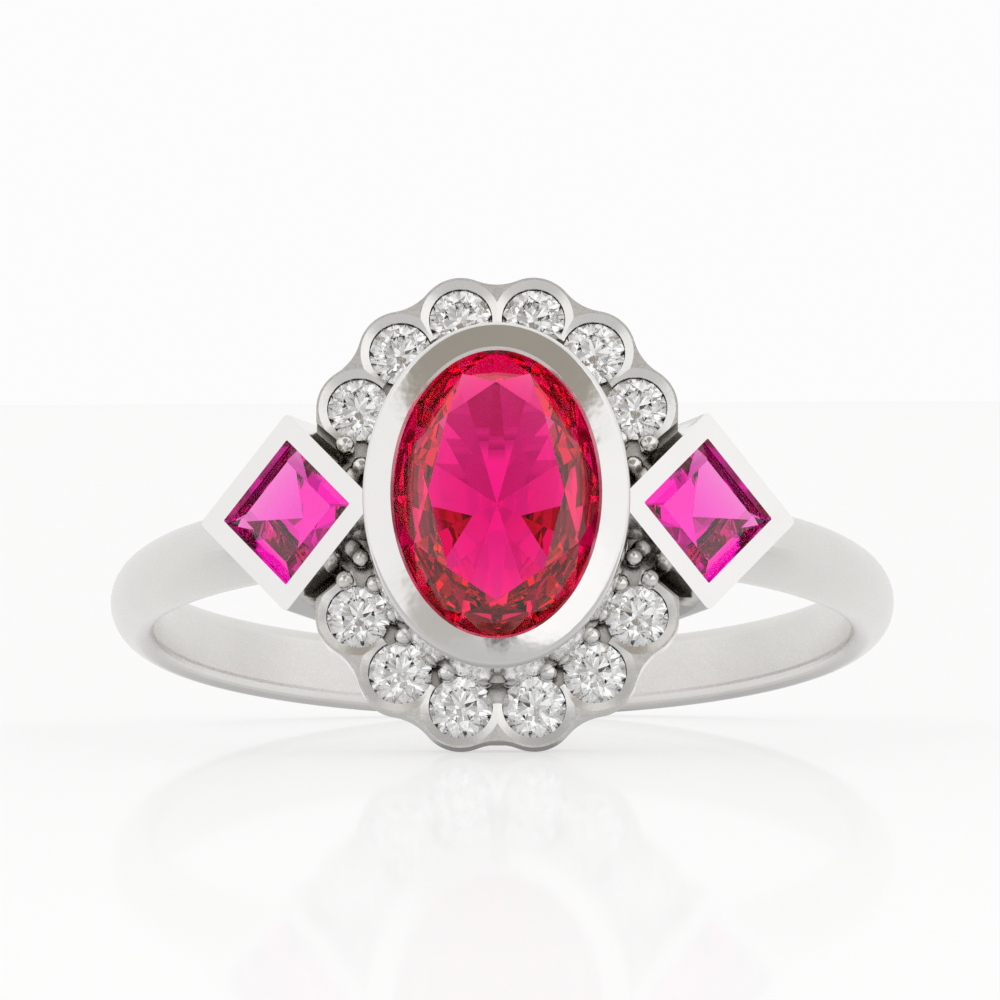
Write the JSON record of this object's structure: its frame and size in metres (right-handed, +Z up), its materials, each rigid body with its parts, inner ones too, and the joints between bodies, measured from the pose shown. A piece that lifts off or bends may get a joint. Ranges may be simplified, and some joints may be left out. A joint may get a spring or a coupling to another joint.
{
  "type": "cocktail ring",
  "caption": "Finger ring with an oval faceted stone in a tall collar, square stones at its sides and a scalloped halo of small brilliants.",
  "frame": {"origin": "centre of the finger bore", "axes": "+Z up, with the ring lying on a table at the tilt at which its lower scallops and the back of its band both touch; -Y points from the bore out through the head and +X to the wearer's side seen on the right when the head faces the viewer; the finger axis leans back from +Z by 13.9 degrees"},
  "size_m": [0.019, 0.0219, 0.0108],
  "materials": {
    "satin_white_metal": "satin",
    "polished_white_metal": "polished",
    "bright_cut_white_metal": "bright cut",
    "ruby": "faceted and polished",
    "pink_stone": "faceted and polished",
    "diamond": "faceted and polished"
  },
  "bodies": {
    "root": {"shank": "satin_white_metal", "upper_gallery": "satin_white_metal", "lower_gallery": "satin_white_metal", "upper_halo": "bright_cut_white_metal", "lower_halo": "bright_cut_white_metal", "setting_beads": "bright_cut_white_metal", "centre_bezel": "polished_white_metal", "centre_ruby": "ruby", "left_side_bezel": "polished_white_metal", "right_side_bezel": "polished_white_metal", "left_side_stone": "pink_stone", "right_side_stone": "pink_stone", "halo_diamond_01": "diamond", "halo_diamond_02": "diamond", "halo_diamond_03": "diamond", "halo_diamond_04": "diamond", "halo_diamond_05": "diamond", "halo_diamond_06": "diamond", "halo_diamond_07": "diamond", "halo_diamond_08": "diamond", "halo_diamond_09": "diamond", "halo_diamond_10": "diamond", "halo_diamond_11": "diamond", "halo_diamond_12": "diamond"}
  },
  "joints": []
}
